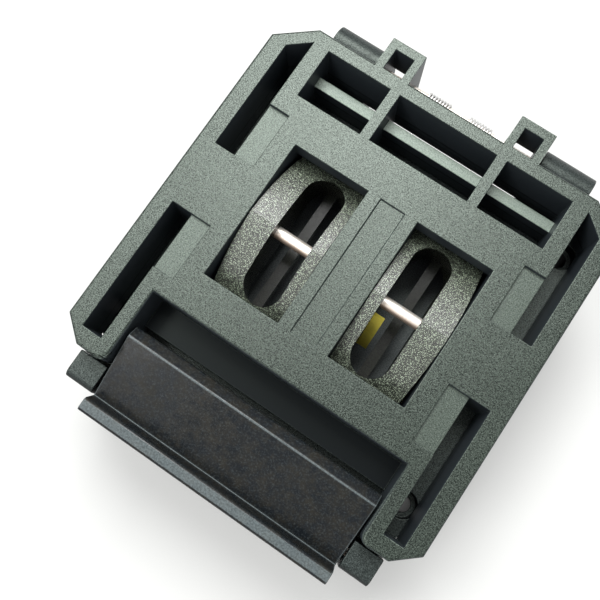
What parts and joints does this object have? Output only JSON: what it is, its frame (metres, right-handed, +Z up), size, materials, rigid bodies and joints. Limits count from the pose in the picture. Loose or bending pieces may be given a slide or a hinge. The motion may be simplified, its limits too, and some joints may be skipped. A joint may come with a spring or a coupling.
{
  "type": "ic test socket",
  "caption": "Clamshell test socket for a square leaded chip: hinged lid with windows, rocking pushers and a press frame, a front latch lever, and rows of fine contacts in the base.",
  "frame": {"origin": "centre of the package seat, on the base's bottom face that lies on the circuit board", "axes": "+Z up from the board, +Y towards the lid's hinge, +X along the hinge axis"},
  "size_m": [0.05, 0.0601, 0.022],
  "materials": {
    "lid_plastic": "fine-grained glass-filled black moulding",
    "base_plastic": "fine-grained glass-filled black moulding",
    "carrier_plastic": "smooth black moulding",
    "latch_plastic": "semi-gloss black moulding with handling marks",
    "pusher_plastic": "sparkly semi-gloss black moulding",
    "pin_steel": "ground bright steel",
    "spring_steel": "drawn wire",
    "screw_steel": "plated",
    "contact_metal": "gold-plated copper alloy",
    "leaf_brass": "yellow brass leaf"
  },
  "bodies": {
    "base": {"base_body": "base_plastic", "contact_carrier": "carrier_plastic", "contacts_front": "contact_metal", "contacts_rear": "contact_metal", "contacts_left": "contact_metal", "contacts_right": "contact_metal", "nest_frame": "carrier_plastic", "nest_screws": "screw_steel", "ground_spring": "spring_steel", "hinge_pin": "pin_steel", "hinge_spring": "spring_steel", "latch_pin": "pin_steel", "latch_spring_left": "spring_steel", "latch_spring_right": "spring_steel"},
    "lid": {"lid_cover": "lid_plastic", "lead_press_frame": "carrier_plastic", "press_frame_screws": "screw_steel", "pusher_pin_right": "pin_steel", "pusher_pin_left": "pin_steel"},
    "latch": {"latch_lever": "latch_plastic"},
    "rocker_right": {"pusher_right": "pusher_plastic", "pusher_leaf": "leaf_brass"},
    "rocker_left": {"pusher_left": "pusher_plastic"},
    "ground": {"ground_contact": "contact_metal"}
  },
  "joints": [
    {"name": "lid_hinge", "type": "hinge", "parent": "base", "child": "lid", "pos_m": [0, 0.0265, 0.016], "axis": [-1, 0, 0], "range_deg": [0, 105]},
    {"name": "latch_pivot", "type": "hinge", "parent": "base", "child": "latch", "pos_m": [0, -0.0273, 0.014], "axis": [1, 0, 0], "range_deg": [-14, 18], "stiffness_Nm_per_rad": 0.02},
    {"name": "rocker_right_pivot", "type": "hinge", "parent": "lid", "child": "rocker_right", "pos_m": [0.00887, 0, 0.0187], "axis": [1, 0, 0], "range_deg": [-3, 3]},
    {"name": "rocker_left_pivot", "type": "hinge", "parent": "lid", "child": "rocker_left", "pos_m": [-0.00887, 0, 0.0187], "axis": [1, 0, 0], "range_deg": [-3, 3]},
    {"name": "ground_press", "type": "slide", "parent": "base", "child": "ground", "axis": [0, 0, -1], "range_m": [0, 0.0005], "stiffness_N_per_m": 800}
  ]
}
